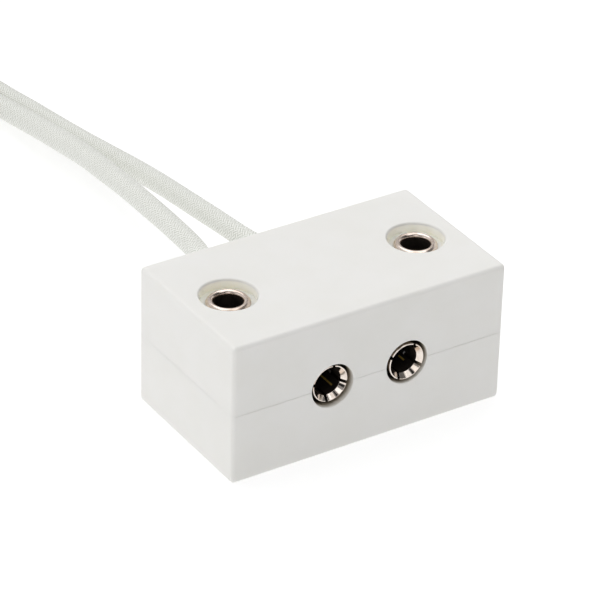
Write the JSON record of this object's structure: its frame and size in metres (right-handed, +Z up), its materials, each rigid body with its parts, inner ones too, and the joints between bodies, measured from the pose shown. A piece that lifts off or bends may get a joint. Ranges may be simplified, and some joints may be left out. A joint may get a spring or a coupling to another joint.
{
  "type": "bi-pin lamp holder",
  "caption": "Ceramic two-pole plug-in lamp holder: block in two halves clamped by hollow rivets, with floating slotted pin contacts and two glass-braided leads.",
  "frame": {"origin": "centre of the block's underside, which is the face that it rests on", "axes": "+X along the block's long side and the row of contacts, +Y from the lamp side to the lead side, +Z up"},
  "size_m": [0.0476, 0.1227, 0.017],
  "materials": {
    "steatite": "unglazed pressed and fired, matte white",
    "nickel_plate": "bright nickel-plated brass, warm grey",
    "spring_steel": "stainless spring strip",
    "strand": "nickel-plated copper strands",
    "inner_insulation": "wrapped glass tape",
    "glass_braid": "white glass-fibre braid, lightly varnished",
    "cotton_tape": "woven cotton tape"
  },
  "bodies": {
    "block": {"lower_shell": "steatite", "upper_shell": "steatite", "left_rivet": "nickel_plate", "right_rivet": "nickel_plate", "left_lead": "glass_braid", "right_lead": "glass_braid", "lead_coil": "glass_braid", "near_coil_tie": "cotton_tape", "far_coil_tie": "cotton_tape", "left_lead_tip": "inner_insulation", "right_lead_tip": "inner_insulation", "left_ferrule": "nickel_plate", "right_ferrule": "nickel_plate"},
    "left_terminal": {"left_contact": "nickel_plate", "left_contact_spring": "spring_steel", "left_conductor": "strand", "left_insulation": "inner_insulation"},
    "right_terminal": {"right_contact": "nickel_plate", "right_contact_spring": "spring_steel", "right_conductor": "strand", "right_insulation": "inner_insulation"}
  },
  "joints": [
    {"name": "left_contact_float", "type": "slide", "parent": "block", "child": "left_terminal", "axis": [1, 0, 0], "range_m": [-0.00025, 0.00025]},
    {"name": "right_contact_float", "type": "slide", "parent": "block", "child": "right_terminal", "axis": [1, 0, 0], "range_m": [-0.00025, 0.00025]}
  ]
}
